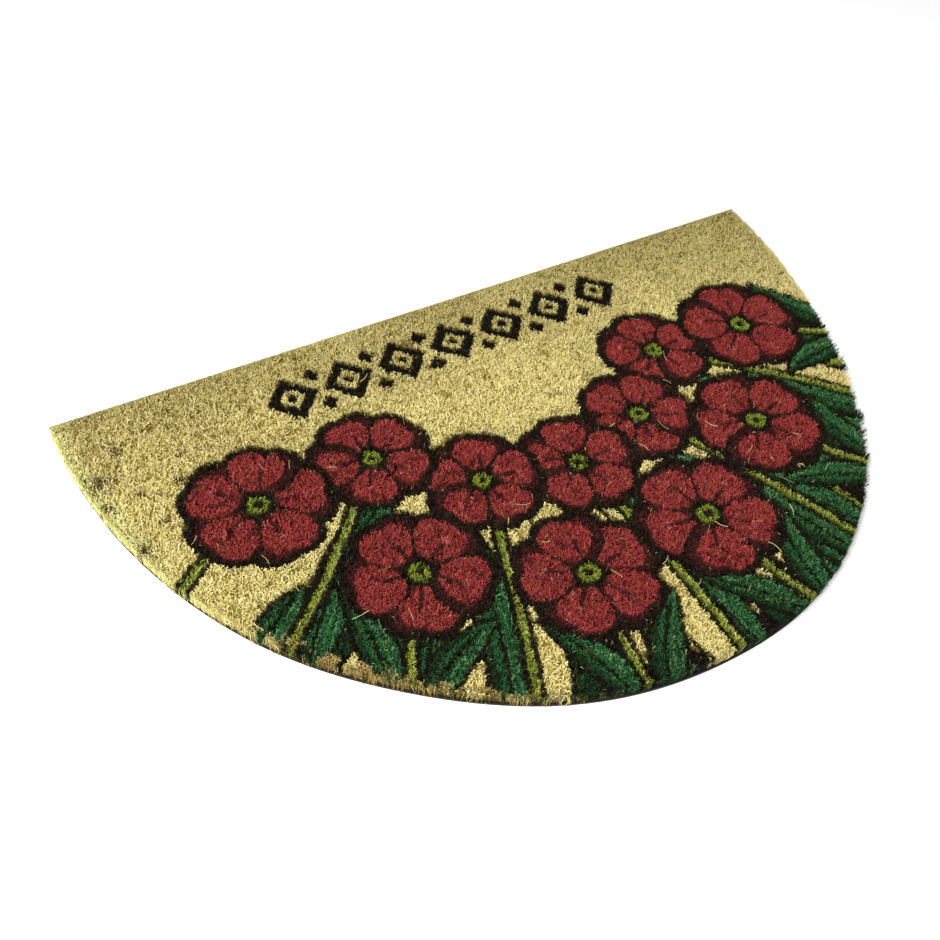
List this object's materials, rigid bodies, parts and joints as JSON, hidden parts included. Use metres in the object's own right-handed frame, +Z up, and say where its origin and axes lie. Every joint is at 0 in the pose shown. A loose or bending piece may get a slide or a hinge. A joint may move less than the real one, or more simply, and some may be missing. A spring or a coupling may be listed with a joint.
{
  "type": "half round doormat",
  "caption": "Half round doormat: a dense, cut coconut-fibre pile with a ragged arc rim on a thin dark vinyl sheet, which lies flat on the floor.",
  "frame": {"origin": "centre of the mat's box, on the floor under its backing", "axes": "+X along the straight edge, +Y from the arc towards the straight edge, +Z up through the pile"},
  "size_m": [0.7614, 0.4568, 0.0168],
  "materials": {
    "coir": "stiff cut coconut fibre, straw coloured, printed in crimson, green and black",
    "vinyl": "dark matt vinyl sheet, faintly pebbled underneath"
  },
  "bodies": {
    "root": {"coir_pile": "coir", "pvc_backing": "vinyl"}
  },
  "joints": []
}
